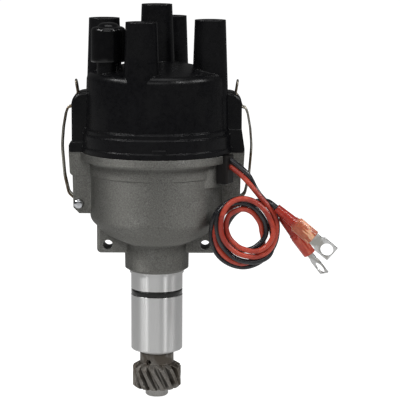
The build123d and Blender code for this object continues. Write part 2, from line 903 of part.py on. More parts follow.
def advance_weight():
    """A crescent weight that turns on its pin; its short arm drives the yoke's peg."""
    far = 3 * weight_outer_radius
    corners = [polar(far, angle) for angle in (6, weight_end_angle / 2, weight_end_angle)]
    wedge = make_face(Polyline((0, 0), *corners, close=True))
    crescent = (Circle(weight_outer_radius) - Circle(weight_inner_radius)) & wedge
    boss = Pos(weight_pivot_radius, 0) * Circle(weight_boss_radius)
    arm_length = weight_pivot_radius - weight_bar_inner
    arm = Pos(weight_pivot_radius - arm_length / 2, 0) * Rectangle(arm_length, weight_bar_width)
    slot_long = 2 * (drive_peg_radius + peg_slot_gap) + peg_slot_stretch
    slot_wide = 2 * (drive_peg_radius + peg_slot_gap)
    slot = Pos(drive_peg_circle - peg_slot_shift, 0) * SlotOverall(slot_long, slot_wide)
    pin_hole = Pos(weight_pivot_radius, 0) * Circle(pivot_pin_radius + running_gap)
    plan = crescent + boss + arm - slot - pin_hole
    body = Pos(0, 0, weight_base) * extrude(plan, weight_thickness)
    return body + rod(spring_post_radius, weight_top, weight_top + spring_post_rise, at=spring_weight_post)


def advance_spring():
    """The outer shape of a tension spring between its two posts, with a hook at each end."""
    height = weight_top + spring_floor_gap + spring_body_radius
    start = Vector(*spring_plate_post, height)
    end = Vector(*spring_weight_post, height)
    along = end - start
    loop_radius = spring_post_radius + spring_wire / 2 + 0.15
    coil_length = along.length - 2 * loop_radius
    turn = math.degrees(math.atan2(along.Y, along.X))
    middle = (start + end) * 0.5
    loop = Torus(loop_radius, spring_wire / 2)
    half = along.length / 2
    wall = 2 * spring_wire
    coil = Rot(0, 90, 0) * (
        extrude(Circle(spring_body_radius), coil_length / 2, both=True)
        - extrude(Circle(spring_body_radius - wall), coil_length / 2 - wall, both=True)
    )
    return Pos(*middle) * Rot(0, 0, turn) * (coil + Pos(half, 0, 0) * loop + Pos(-half, 0, 0) * loop)


def advance_springs():
    return [advance_spring(), opposite(advance_spring())]


def advance_yoke():
    arm_reach = drive_peg_circle + drive_peg_radius + 1.0
    plan = SlotOverall(2 * arm_reach, 2 * yoke_half_width) + Circle(sleeve_radius + 2.6)
    plan -= Circle(sleeve_radius)
    body = Pos(0, 0, yoke_base) * extrude(plan, yoke_thickness)
    for side in (-1, 1):
        body += rod(drive_peg_radius, weight_base + 0.6, yoke_base + 0.5, at=(side * drive_peg_circle, 0))
    return body


def cam_sleeve():
    return turned(
        [
            (journal_radius + running_gap, sleeve_base),
            (sleeve_radius, sleeve_base),
            (sleeve_radius, sleeve_top - 0.5),
            (sleeve_radius - 0.5, sleeve_top),
            (sleeve_well_radius, sleeve_top),
            (sleeve_well_radius, sleeve_well_floor),
            (journal_radius + running_gap, sleeve_well_floor),
        ]
    )


def sleeve_circlip():
    """The snap ring that keeps the sleeve on the shaft."""
    body = ring(circlip_groove_radius, circlip_radius, circlip_base, circlip_base + circlip_thickness)
    half = circlip_opening / 2
    far = 2 * circlip_radius
    gap = make_face(Polyline((0, 0), polar(far, -half), polar(far, half), close=True))
    return body - Pos(0, 0, circlip_base - 1) * extrude(gap, circlip_thickness + 2)


def felt_wick():
    return rod(sleeve_well_radius - 0.1, journal_top + 0.2, wick_top)


# ---- trigger and rotor -------------------------------------------------------------------
def magnet_ring():
    magnet_ring_top = magnet_ring_base + magnet_ring_height
    body = ring(sleeve_radius, magnet_ring_radius, magnet_ring_base, magnet_ring_top)
    for pole in range(pole_count):
        notch_at = polar(magnet_ring_radius + pole_notch_radius * 0.6, 360 / pole_count * (pole + 0.5))
        body -= rod(pole_notch_radius, magnet_ring_base - 1, magnet_ring_top + 1, at=notch_at)
    return body


def rotor():
    """The moulded rotor, pushed over the sleeve's top."""
    body = turned(
        [
            (0, sleeve_top + 0.2),
            (sleeve_radius, sleeve_top + 0.2),
            (sleeve_radius, rotor_hub_base),
            (rotor_hub_radius, rotor_hub_base),
            (rotor_hub_radius - 0.8, rotor_disc_base),
            (rotor_disc_radius, rotor_disc_base),
            (rotor_disc_radius, rotor_disc_base + 2.4),
            (rotor_disc_radius * 0.5, rotor_top),
            (0, rotor_top),
        ],
        {4: 1.2},
    )
    arm = block(
        (-rotor_disc_radius + 2, -rotor_arm_half_width, rotor_disc_base),
        (rotor_arm_reach, rotor_arm_half_width, rotor_top),
    )
    arm = fillet(upright_edges(arm), 2.0)
    return Rot(0, 0, tower_angle) * (body + arm)


def rotor_electrode():
    plan = Pos((electrode_tip - 9) / 2, 0) * Rectangle(electrode_tip + 9, 2 * electrode_half_width)
    plan &= Circle(electrode_tip)
    return Rot(0, 0, tower_angle) * Pos(0, 0, rotor_top) * extrude(plan, electrode_thickness)


def rotor_contact_spring():
    """A leaf that rises from the electrode to meet the brush."""
    floor = rotor_top + electrode_thickness
    leaf = side_profile(
        [
            (-8.5, floor),
            (-4.0, floor),
            (0.5, contact_height - contact_thickness),
            (5.0, contact_height - contact_thickness - 0.3),
            (5.0, contact_height - 0.3),
            (0.3, contact_height),
            (-4.3, floor + contact_thickness),
            (-8.5, floor + contact_thickness),
        ],
        2.2,
    )
    return Rot(0, 0, tower_angle) * leaf


def module_plate():
    body = ring(module_plate_hole, ledge_inside_radius - 0.1, ledge_height, module_floor)
    for side in (-1, 1):
        screw_at = (0, side * plate_screw_circle)
        body -= rod(plate_screw_radius, ledge_height - 1, module_floor + 1, at=screw_at)
    for at in module_screw_places():
        body -= rod(module_screw_radius, ledge_height - 1, module_floor + 1, at=at)
    return body


def module_screw_places():
    """The two screws stand either side of the module."""
    across_line = module_foot_half_width - 2.8
    radius = math.hypot(module_foot_reach, across_line)
    half = math.degrees(math.atan2(across_line, module_foot_reach))
    return [polar(radius, lead_azimuth - half), polar(radius, lead_azimuth + half)]


def pan_screw(radius, bottom, seat, at):
    """A pan-head screw with a cross recess left out."""
    head_radius, head_rise = radius * 1.9, radius * 1.05
    body = turned(
        [
            (0, bottom),
            (radius, bottom),
            (radius, seat),
            (head_radius, seat),
            (head_radius, seat + head_rise),
            (0, seat + head_rise),
        ],
        {4: head_rise * 0.6},
    )
    return Pos(at[0], at[1], 0) * body


def plate_screws():
    bottom = ledge_height - plate_screw_grip
    places = [(0, -plate_screw_circle), (0, plate_screw_circle)]
    return [pan_screw(plate_screw_radius, bottom, module_floor, at) for at in places]


def module_screws():
    seat = module_floor + module_foot_height
    bottom = module_floor - module_screw_grip
    return [pan_screw(module_screw_radius, bottom, seat, at) for at in module_screw_places()]


def ignition_module():
    """The potted switching module, its sensor nose facing the magnet ring."""
    body = block(
        (module_inner, -module_half_width, module_floor),
        (module_outer, module_half_width, module_floor + module_height),
    )
    body = fillet(upright_edges(body), 1.5)
    body += block(
        (magnet_ring_radius + sensor_gap, -sensor_half_width, magnet_ring_base),
        (module_inner + 1, sensor_half_width, magnet_ring_base + magnet_ring_height),
    )
    feet = block(
        (module_foot_reach - 3, -module_foot_half_width, module_floor),
        (module_foot_reach + 3, module_foot_half_width, module_floor + module_foot_height),
    )
    body += fillet(upright_edges(feet), 2.0)
    body += block(
        (outlet_inner, -outlet_half_width, module_floor + 1),
        (module_outer, outlet_half_width, black_exit_height + lead_radius + 0.5),
    )
    body = Rot(0, 0, lead_azimuth) * body
    for at in module_screw_places():
        body -= rod(module_screw_radius, module_floor - 1, module_floor + module_foot_height + 1, at=at)
    return body


# ---- leads -------------------------------------------------------------------------------
def grommet_exit(height):
    """The middle of a lead where it leaves the grommet's outer face."""
    x, y = polar(grommet_outer, lead_azimuth)
    return (x, y, height)


def lead_bore(radius, height, start, end):
    """A rod along the leads' azimuth, between two distances from the shaft."""
    lying = Pos(start, 0, height) * Rot(0, 90, 0) * extrude(Circle(radius), end - start)
    return Rot(0, 0, lead_azimuth) * lying


def module_leads():
    return [lead_bore(lead_radius, height, module_outer, grommet_outer) for height in exit_heights.values()]


def lead_grommet():
    body = grommet_slot_box(
        grommet_half_width - 0.05, grommet_inner, grommet_outer, grommet_bottom, joint_height - 0.1
    )
    outer_edges = [e for e in upright_edges(body) if math.hypot(e.center().X, e.center().Y) > pad_radius]
    body = fillet(outer_edges, 1.0)
    body += grommet_slot_box(
        grommet_flange_half_width,
        grommet_inner,
        grommet_inner + grommet_flange - 0.3,
        grommet_bottom,
        joint_height - spigot_depth - 0.2,
    )
    for height in exit_heights.values():
        body -= lead_bore(lead_radius + lead_fit, height, grommet_inner - 1, grommet_outer + 1)
    return body


def largest_arcs(points):
    """The radius of each corner, as large as its two runs allow."""
    radii = []
    for before, corner, after in zip(points, points[1:], points[2:]):
        run_in, run_out = Vector(*corner) - Vector(*before), Vector(*after) - Vector(*corner)
        half_turn = math.radians(run_in.get_angle(run_out)) / 2
        radii.append(0.45 * min(run_in.length, run_out.length) / math.tan(half_turn))
    return radii


def tube(points, radius, name):
    """A lead's free stretch: straight runs joined by tangent arcs."""
    radii = largest_arcs(points)
    path = FilletPolyline(*points, radius=radii)
    solid = sweep(Plane(origin=path @ 0, z_dir=path % 0) * Circle(radius), path=path)
    section = math.pi * radius**2
    print(name, "length", round(path.length, 1), "radii", [round(r, 1) for r in radii])
    print(name, "volume", round(solid.volume, 1), "section x length", round(section * path.length, 1))
    return solid


def black_lead():
    return tube([grommet_exit(black_exit_height), *black_route], lead_radius, "black_lead")


def red_lead():
    return tube([grommet_exit(red_exit_height), *red_route], lead_radius, "red_lead")


def black_lead_tail():
    return tube(black_tail_route, lead_radius, "black_lead_tail")


def red_lead_tail():
    return tube(red_tail_route, lead_radius, "red_lead_tail")


def lead_coil():
    """The outer shape of both leads' turns, which hang facing -Y."""
    section = Plane.XZ * (Pos(coil_mean_radius, 0) * Ellipse(coil_half_width, coil_half_depth))
    return Pos(coil_x, coil_y, coil_z) * Rot(90, 0, 0) * revolve(section, Axis.Z)


def terminal_plane(route, roll):
    """Where a terminal lies: X runs on from its lead, Z stands out of its tongue."""
    ahead = (Vector(*route[-1]) - Vector(*route[-2])).normalized()
    facing = Vector(0, -1, 0)
    facing = (facing - ahead * facing.dot(ahead)).normalized()
    return Plane(origin=route[-1], x_dir=ahead, z_dir=facing.rotate(Axis((0, 0, 0), ahead), roll))


def along_x(shape, start):
    """Stand a shape that was drawn up Z along X instead."""
    return Pos(start, 0, 0) * Rot(0, 90, 0) * shape


def terminal_sleeve():
    """The moulded insulation: a round grip on the lead and a flattened barrel over the crimp."""
    cone = Cone(grip_mouth_radius, grip_radius, grip_length, align=(Align.CENTER, Align.CENTER, Align.MIN))
    grip = along_x(cone, 0)
    grip += along_x(extrude(Circle(grip_ring_radius), grip_ring_length + 1), grip_length - grip_ring_length)
    barrel = extrude(Ellipse(barrel_half_height, barrel_half_width), sleeve_length - grip_length)
    barrel = chamfer(barrel.edges().sort_by(Axis.Z)[0], 0.9)
    hollow = extrude(Ellipse(barrel_half_height - 0.7, barrel_half_width - 0.7), sleeve_mouth_depth + 1)
    crimp = extrude(Circle(crimp_radius), sleeve_length)
    body = grip + along_x(barrel, grip_length)
    return body - along_x(hollow, sleeve_length - sleeve_mouth_depth) - along_x(crimp, grip_length + 1)


def ring_terminal():
    """The tinned crimp barrel and its flat ringed tongue."""
    neck_end = sleeve_length + tongue_neck_length
    tip = tongue_hole_distance + tongue_tip
    half = tongue_half_width
    plan = outline(
        [
            (sleeve_length - sleeve_mouth_depth, -tongue_neck_half_width),
            (neck_end, -tongue_neck_half_width),
            (neck_end + 1.3, -half),
            (tip, -half),
            (tip, half),
            (neck_end + 1.3, half),
            (neck_end, tongue_neck_half_width),
            (sleeve_length - sleeve_mouth_depth, tongue_neck_half_width),
        ],
        {3: 0.5, 4: 0.5},
    )
    plan -= Pos(tongue_hole_distance, 0) * Circle(tongue_hole_radius)
    tongue = extrude(plan, tongue_thickness / 2, both=True)
    return tongue + along_x(
        extrude(Circle(crimp_radius), sleeve_length - sleeve_mouth_depth - grip_length), grip_length + 1
    )


black_terminal = terminal_plane(black_tail_route, black_terminal_roll)
red_terminal = terminal_plane(red_tail_route, red_terminal_roll)


# ---- clips -------------------------------------------------------------------------------
def clip_bail():
    """The right-hand spring clip: one wire from eye to finger loop and back to the other eye."""
    eye_radius = clip_pin_radius + clip_eye_gap + clip_wire_radius
    pivot = Vector(clip_pivot_reach, 0, clip_pivot_height)
    first = Vector(clip_leg[0][0], 0, clip_leg[0][1])
    start = pivot + (first - pivot).normalized() * eye_radius
    leg = [start] + [Vector(reach, 0, height) for reach, height in clip_leg]
    offset = Vector(0, clip_leg_offset, 0)
    points = [p - offset for p in leg] + [p + offset for p in reversed(leg)]
    path = FilletPolyline(*points, radius=clip_radii + clip_radii[::-1])
    body = sweep(Plane(origin=path @ 0, z_dir=path % 0) * Circle(clip_wire_radius), path=path)
    for side in (-1, 1):
        eye = Rot(90, 0, 0) * Torus(eye_radius, clip_wire_radius)
        body += Pos(clip_pivot_reach, side * clip_leg_offset, clip_pivot_height) * eye
    return body


def mirrored(shape):
    """The same piece on the other side of the shaft."""
    return mirror(shape, about=Plane.YZ)


def clip_pin():
    """The right-hand pivot rivet, its domed head on the lead side."""
    face = lug_half_width - 0.4
    body = turned(
        [
            (0, -face),
            (clip_pin_radius, -face),
            (clip_pin_radius, face),
            (clip_head_radius, face),
            (clip_head_radius, face + clip_head_rise),
            (0, face + clip_head_rise),
        ],
        {4: clip_head_rise * 0.9},
    )
    outer, end = clip_pin_radius + 0.5, -face - 0.8
    peened = turned([(0, end), (outer, end), (outer, -face), (0, -face)], {1: 0.6})
    return Pos(clip_pivot_reach, 0, clip_pivot_height) * Rot(90, 0, 0) * (body + peened)


# ---- the whole distributor ---------------------------------------------------------------
right_clip, right_pin = clip_bail(), clip_pin()
weight = advance_weight()
nodes = {
    "housing": housing(),
    "upper_bushing": upper_bushing(),
    "lower_bushing": lower_bushing(),
    "o_ring": o_ring(),
    "distributor_cap": distributor_cap(),
    "plug_terminals": plug_terminals(),
    "coil_terminal": coil_terminal(),
    "vent_cap": vent_cap(),
    "carbon_brush": carbon_brush(),
    "brush_spring": brush_spring(),
    "module_plate": module_plate(),
    "plate_screws": plate_screws(),
    "ignition_module": ignition_module(),
    "module_screws": module_screws(),
    "module_leads": module_leads(),
    "lead_grommet": lead_grommet(),
    "clip_pin_left": mirrored(right_pin),
    "clip_pin_right": right_pin,
    "clip_left": mirrored(right_clip),
    "clip_right": right_clip,
    "main_shaft": main_shaft(),
    "weight_base_plate": weight_base_plate(),
    "weight_pivot_pins": weight_pivot_pins(),
    "pivot_clips": pivot_clips(),
    "advance_weight_a": weight,
    "advance_weight_b": opposite(weight),
    "advance_springs": advance_springs(),
    "advance_yoke": advance_yoke(),
    "cam_sleeve": cam_sleeve(),
    "sleeve_circlip": sleeve_circlip(),
    "felt_wick": felt_wick(),
    "magnet_ring": magnet_ring(),
    "rotor": rotor(),
    "rotor_electrode": rotor_electrode(),
    "rotor_contact_spring": rotor_contact_spring(),
    "upper_thrust_washer": upper_thrust_washer(),
    "lower_thrust_washer": lower_thrust_washer(),
    "drive_gear": drive_gear(),
    "gear_pin": gear_pin(),
    "red_lead": red_lead(),
    "black_lead": black_lead(),
    "lead_coil": lead_coil(),
    "red_lead_tail": red_lead_tail(),
    "black_lead_tail": black_lead_tail(),
    "red_lead_sleeve": red_terminal * terminal_sleeve(),
    "black_lead_sleeve": black_terminal * terminal_sleeve(),
    "red_lead_ring": red_terminal * ring_terminal(),
    "black_lead_ring": black_terminal * ring_terminal(),
}

os.makedirs("parts", exist_ok=True)
for name, shape in nodes.items():
    if isinstance(shape, list):
        shape = Compound(children=[piece.solid() for piece in shape])
    export_step(shape, f"parts/{name}.step")
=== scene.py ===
import json
import math

import bpy
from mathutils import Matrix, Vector


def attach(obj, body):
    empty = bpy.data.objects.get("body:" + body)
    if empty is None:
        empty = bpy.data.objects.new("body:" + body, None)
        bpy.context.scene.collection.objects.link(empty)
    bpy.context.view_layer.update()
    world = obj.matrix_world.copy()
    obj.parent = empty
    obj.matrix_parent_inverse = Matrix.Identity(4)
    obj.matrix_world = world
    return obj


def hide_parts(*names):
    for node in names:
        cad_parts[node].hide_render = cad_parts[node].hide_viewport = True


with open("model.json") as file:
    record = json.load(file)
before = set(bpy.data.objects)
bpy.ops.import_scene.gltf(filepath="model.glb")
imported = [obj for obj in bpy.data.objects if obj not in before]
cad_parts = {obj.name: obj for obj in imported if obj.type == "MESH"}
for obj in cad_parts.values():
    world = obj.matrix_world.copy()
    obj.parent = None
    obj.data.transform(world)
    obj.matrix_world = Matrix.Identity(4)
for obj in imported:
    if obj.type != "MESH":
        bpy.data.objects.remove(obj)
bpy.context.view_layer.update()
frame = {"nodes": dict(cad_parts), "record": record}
nodes = frame["nodes"]
bodies = frame["record"]["behaviour"]["bodies"]


# small helpers
def feed(tree, socket, value):
    if isinstance(value, bpy.types.NodeSocket):
        tree.links.new(value, socket)
    else:
        socket.default_value = value


def addNode(tree, kind, inputs=None, **settings):
    node = tree.nodes.new(kind)
    for key, value in settings.items():
        setattr(node, key, value)
    for key, value in (inputs or {}).items():
        feed(tree, node.inputs[key], value)
    return node


def calculate(tree, operation, *values):
    node = tree.nodes.new("ShaderNodeMath")
    node.operation = operation
    for socket, value in zip(node.inputs, values):
        feed(tree, socket, value)
    return node.outputs[0]


def combine(tree, operation, first, second, output="Vector"):
    # one operation on two vectors
    return addNode(tree, "ShaderNodeVectorMath", {0: first, 1: second}, operation=operation).outputs[output]


def blendColours(tree, factor, first, second):
    node = tree.nodes.new("ShaderNodeMix")
    node.data_type = "RGBA"
    feed(tree, node.inputs["Factor"], factor)
    for label, colour in (("A", first), ("B", second)):
        feed(tree, node.inputs[label], (*colour, 1) if isinstance(colour, tuple) else colour)
    return node.outputs["Result"]


def blendNormals(tree, factor, first, second):
    node = addNode(tree, "ShaderNodeMix", {"Factor": factor}, data_type="VECTOR")
    feed(tree, node.inputs[4], first)  # the vector sockets of a Mix node
    feed(tree, node.inputs[5], second)
    return node.outputs[1]


def mixValues(tree, factor, first, second):
    return addNode(
        tree, "ShaderNodeMix", {"Factor": factor, "A": first, "B": second}, data_type="FLOAT"
    ).outputs["Result"]


def blendValues(tree, factor, first, second):
    # 0 to 1 becomes first to second, and stays between them
    return addNode(
        tree, "ShaderNodeMapRange", {"Value": factor, "To Min": first, "To Max": second}
    ).outputs["Result"]


def stretch(tree, value, low, high):
    # low to high becomes 0 to 1, and what lies outside is cut off
    return addNode(
        tree, "ShaderNodeMapRange", {"Value": value, "From Min": low, "From Max": high}
    ).outputs["Result"]


def objectPlace(tree):
    return addNode(tree, "ShaderNodeTexCoord").outputs["Object"]


def splitPlace(tree):
    return addNode(tree, "ShaderNodeSeparateXYZ", {"Vector": objectPlace(tree)}).outputs


def fromShaft(tree, part):
    # distance from the shaft's axis, from the parts of a place
    across = calculate(tree, "MULTIPLY", part["X"], part["X"])
    deep = calculate(tree, "MULTIPLY", part["Y"], part["Y"])
    return calculate(tree, "SQRT", calculate(tree, "ADD", across, deep))


def newGroup(name, inputs, outputs):
    # an empty node group; each socket is (name, kind) or (name, kind, start value)
    group = bpy.data.node_groups.new(name, "ShaderNodeTree")
    for label, kind, *start in inputs:
        socket = group.interface.new_socket(name=label, in_out="INPUT", socket_type=kind)
        if start:
            socket.default_value = start[0]
    for label, kind in outputs:
        group.interface.new_socket(name=label, in_out="OUTPUT", socket_type=kind)
    entry, result = group.nodes.new("NodeGroupInput"), group.nodes.new("NodeGroupOutput")
    return group, entry.outputs, result.inputs


def useGroup(tree, group, **inputs):
    node = addNode(tree, "ShaderNodeGroup", node_tree=group)
    for key, value in inputs.items():
        feed(tree, node.inputs[key], value)
    return node.outputs


def addSkin(tree, effect, values, soft):
    # grain or turning rings laid over the softened edges
    scale, strength, distance = values
    return useGroup(tree, effect, Scale=scale, Strength=strength, Distance=distance, Normal=soft["Normal"])


def newMaterial(name, **plain):
    # its Principled shader's constant sockets are set here
    material = bpy.data.materials.new(name)
    material.use_nodes = True
    shader = material.node_tree.nodes["Principled BSDF"]
    for key, value in plain.items():
        shader.inputs[key].default_value = value
    return material, material.node_tree, shader.inputs


def giveMaterial(piece, material):
    piece.data.materials.clear()
    piece.data.materials.append(material)


# camera: a long lens a metre away, a little above the object
camera = {
    "focal": 163.2,
    "sensor": 36,
    "distance": 1.0,
    "elevation": 9.28,
    "roll": 0.235,
    "target": (0.02377, 0.0, 0.0402),
    "near": 0.05,
    "far": 200,
}
rise = math.radians(camera["elevation"])
bpy.ops.object.camera_add(
    location=(
        camera["target"][0],
        camera["target"][1] - camera["distance"] * math.cos(rise),
        camera["target"][2] + camera["distance"] * math.sin(rise),
    ),
    rotation=(math.pi / 2 - rise, 0, 0),
)
view = bpy.context.object
view.name = "camera"
view.rotation_euler.rotate_axis("Z", math.radians(camera["roll"]))
view.data.lens = camera["focal"]
view.data.sensor_width = camera["sensor"]
view.data.clip_start = camera["near"]
view.data.clip_end = camera["far"]
bpy.context.scene.camera = view

# floor: white to the eye, and bright near the object, where the turned metal mirrors it
floor = {
    "height": -0.0706,
    "size": 60,
    "middle": (0, 20),
    "paint": (0.3, 0.3, 0.3, 1),
    "rough": 0.9,
    "glow": 0.46,
    "glowAway": 0.05,
    "glowFrom": 0.35,
    "glowTo": 0.95,
}
bpy.ops.mesh.primitive_plane_add(size=floor["size"], location=(*floor["middle"], floor["height"]))
ground = bpy.context.object
ground.name = "floor"
floorPaint, tree, shader = newMaterial("floorPaint", **{
    "Base Color": floor["paint"], "Roughness": floor["rough"], "Emission Color": (1, 1, 1, 1),
})
place = addNode(tree, "ShaderNodeNewGeometry").outputs["Position"]
away = addNode(tree, "ShaderNodeVectorMath", {0: place}, operation="LENGTH").outputs["Value"]
glow = addNode(tree, "ShaderNodeMapRange", {
    "Value": away, "From Min": floor["glowFrom"], "From Max": floor["glowTo"],
    "To Min": floor["glow"], "To Max": floor["glowAway"],
}, interpolation_type="SMOOTHSTEP").outputs["Result"]
seen = addNode(tree, "ShaderNodeLightPath").outputs["Is Camera Ray"]
feed(tree, shader["Emission Strength"], calculate(tree, "MAXIMUM", seen, glow))
giveMaterial(ground, floorPaint)

# studio light: the backdrop is white to the eye too, and dim in what the object mirrors
studio = {
    "skyStrength": 0.09,
    "aim": (0.02, 0, 0.04),
    "boxes": {
        # name: (azimuth, elevation, distance, width, height, power)
        "leftStrip": (-51, 36, 1.3, 0.07, 0.45, 4.2),
        "rightStrip": (43, 36, 1.3, 0.07, 0.45, 3.8),
        "leftKey": (-78, 42, 1.4, 0.45, 0.2, 6.4),
        "rightFill": (80, 35, 1.4, 0.5, 0.3, 5.8),
        "overhead": (0, 80, 1.3, 1.0, 0.6, 4.0),
        "front": (-8, 30, 1.5, 1.2, 0.5, 4.0),
    },
}
world = bpy.data.worlds.new("studio")
bpy.context.scene.world = world
world.use_nodes = True
tree = world.node_tree
backdrop = tree.nodes["Background"].inputs
backdrop["Color"].default_value = (1, 1, 1, 1)
seen = addNode(tree, "ShaderNodeLightPath").outputs["Is Camera Ray"]
feed(tree, backdrop["Strength"], calculate(tree, "MAXIMUM", seen, studio["skyStrength"]))
aim = Vector(studio["aim"])
for name, (azimuth, elevation, distance, width, height, power) in studio["boxes"].items():
    around, up = math.radians(azimuth), math.radians(elevation)
    toward = Vector((math.cos(up) * math.sin(around), -math.cos(up) * math.cos(around), math.sin(up)))
    bpy.ops.object.light_add(
        type="AREA", location=aim + distance * toward, rotation=toward.to_track_quat("Z", "Y").to_euler()
    )
    lamp = bpy.context.object
    lamp.name = name
    lamp.data.shape = "RECTANGLE"
    lamp.data.size = width
    lamp.data.size_y = height
    lamp.data.energy = power
bpy.context.scene.view_settings.view_transform = "Standard"
print("camera, floor and light")


# effects that several finishes share
def grainGroup():
    group, given, made = newGroup(
        "grain",
        [("Scale", "NodeSocketFloat", 800.0), ("Strength", "NodeSocketFloat", 0.2),
         ("Distance", "NodeSocketFloat", 0.0002), ("Normal", "NodeSocketVector")],
        [("Value", "NodeSocketFloat"), ("Normal", "NodeSocketVector")],
    )
    noise = addNode(group, "ShaderNodeTexNoise", {
        "Vector": objectPlace(group), "Scale": given["Scale"], "Detail": 4.0, "Roughness": 0.6,
    }).outputs["Fac"]
    bump = addNode(group, "ShaderNodeBump", {
        "Height": noise, "Strength": given["Strength"], "Distance": given["Distance"],
        "Normal": given["Normal"],
    }).outputs["Normal"]
    feed(group, made["Value"], noise)
    feed(group, made["Normal"], bump)
    return group


def edgeGroup():
    # a softened normal over each edge, and a mask of where it differs from the true one
    group, given, made = newGroup(
        "softEdge",
        [("Radius", "NodeSocketFloat", 0.0003)],
        [("Mask", "NodeSocketFloat"), ("Normal", "NodeSocketVector")],
    )
    bevel = addNode(group, "ShaderNodeBevel", {"Radius": given["Radius"]}, samples=12).outputs["Normal"]
    true = addNode(group, "ShaderNodeNewGeometry").outputs["Normal"]
    alike = combine(group, "DOT_PRODUCT", bevel, true, "Value")
    feed(group, made["Mask"], stretch(group, alike, 0.99, 0.75))
    feed(group, made["Normal"], bevel)
    return group


def blotchGroup():
    # broad stains and handling marks
    group, given, made = newGroup(
        "blotch", [("Scale", "NodeSocketFloat", 60.0), ("Cover", "NodeSocketFloat", 0.5)],
        [("Mask", "NodeSocketFloat")],
    )
    noise = addNode(group, "ShaderNodeTexNoise", {
        "Vector": objectPlace(group), "Scale": given["Scale"], "Detail": 3.0, "Roughness": 0.55,
        "Distortion": 0.4,
    }).outputs["Fac"]
    full = calculate(group, "SUBTRACT", 0.75, calculate(group, "MULTIPLY", given["Cover"], 0.5))
    feed(group, made["Mask"], stretch(group, noise, calculate(group, "SUBTRACT", full, 0.12), full))
    return group


def lathedGroup():
    # fine rings left by turning, up the walls and across the faces
    group, given, made = newGroup(
        "lathed",
        [("Scale", "NodeSocketFloat", 4000.0), ("Strength", "NodeSocketFloat", 0.1),
         ("Distance", "NodeSocketFloat", 0.00005), ("Normal", "NodeSocketVector")],
        [("Value", "NodeSocketFloat"), ("Normal", "NodeSocketVector")],
    )
    part = splitPlace(group)
    run = calculate(group, "ADD", part["Z"], fromShaft(group, part))
    rings = addNode(group, "ShaderNodeTexNoise", {
        "W": calculate(group, "MULTIPLY", run, given["Scale"]), "Scale": 1.0, "Detail": 3.0, "Roughness": 0.7,
    }, noise_dimensions="1D").outputs["Fac"]
    bump = addNode(group, "ShaderNodeBump", {
        "Height": rings, "Strength": given["Strength"], "Distance": given["Distance"],
        "Normal": given["Normal"],
    }).outputs["Normal"]
    feed(group, made["Value"], rings)
    feed(group, made["Normal"], bump)
    return group


def zoneGroup():
    # one between two heights and inside a radius about the shaft
    group, given, made = newGroup(
        "zone",
        [("Low", "NodeSocketFloat", 0.0), ("High", "NodeSocketFloat", 1.0),
         ("Radius", "NodeSocketFloat", 1.0)],
        [("Mask", "NodeSocketFloat")],
    )
    part = splitPlace(group)
    above = calculate(group, "GREATER_THAN", part["Z"], given["Low"])
    below = calculate(group, "LESS_THAN", part["Z"], given["High"])
    inside = calculate(group, "LESS_THAN", fromShaft(group, part), given["Radius"])
    between = calculate(group, "MULTIPLY", above, below)
    feed(group, made["Mask"], calculate(group, "MULTIPLY", between, inside))
    return group


grain, softEdge, blotch, lathed, zone = grainGroup(), edgeGroup(), blotchGroup(), lathedGroup(), zoneGroup()
noiseSpan = (0.3, 0.7)  # where most of the grain's values lie

# sand-grey casting with a bright turned pilot; a grain is (scale, strength, distance)
housingFinish = {
    "metallic": 0.9,
    "anisotropic": 0.95,
    "edge": 0.0004,
    "cast": ((0.12, 0.12, 0.112), (0.40, 0.40, 0.378)),
    "castEdge": (0.46, 0.46, 0.44),
    "castEdgeWear": 0.6,
    "castRough": (0.62, 0.78),
    "grain": (1500, 0.65, 0.0004),
    "stains": [
        # (scale, cover, share, colour)
        (220, 0.45, 0.25, (0.28, 0.28, 0.26)),
        (35, 0.6, 0.3, (0.12, 0.115, 0.1)),
    ],
    "turned": ((0.56, 0.56, 0.555), (0.68, 0.68, 0.675)),
    "turnedRough": (0.36, 0.42),
    "turnedGrain": (9000, 0.12, 0.00003),
    "turnedZone": (-0.1, 0.0012, 0.0152),  # lowest, highest and radius
}


def castAluminium():
    f = housingFinish
    material, tree, shader = newMaterial(
        "castAluminium", Metallic=f["metallic"], Anisotropic=f["anisotropic"]
    )
    upward = addNode(tree, "ShaderNodeCombineXYZ", {"Z": 1.0}).outputs["Vector"]
    feed(tree, shader["Tangent"], upward)
    soft = useGroup(tree, softEdge, Radius=f["edge"])
    skin = addSkin(tree, grain, f["grain"], soft)
    spread = stretch(tree, skin["Value"], *noiseSpan)
    cast = blendColours(tree, spread, *f["cast"])
    for size, cover, share, stain in f["stains"]:
        mask = useGroup(tree, blotch, Scale=size, Cover=cover)["Mask"]
        cast = blendColours(tree, calculate(tree, "MULTIPLY", mask, share), cast, stain)
    worn = calculate(tree, "MULTIPLY", soft["Mask"], f["castEdgeWear"])
    cast = blendColours(tree, worn, cast, f["castEdge"])
    rings = addSkin(tree, lathed, f["turnedGrain"], soft)
    low, high, radius = f["turnedZone"]
    bright = useGroup(tree, zone, Low=low, High=high, Radius=radius)["Mask"]
    turned = blendColours(tree, rings["Value"], *f["turned"])
    castShine = blendValues(tree, spread, *f["castRough"])
    turnedShine = blendValues(tree, rings["Value"], *f["turnedRough"])
    feed(tree, shader["Base Color"], blendColours(tree, bright, cast, turned))
    feed(tree, shader["Roughness"], mixValues(tree, bright, castShine, turnedShine))
    feed(tree, shader["Normal"], blendNormals(tree, bright, skin["Normal"], rings["Normal"]))
    return material


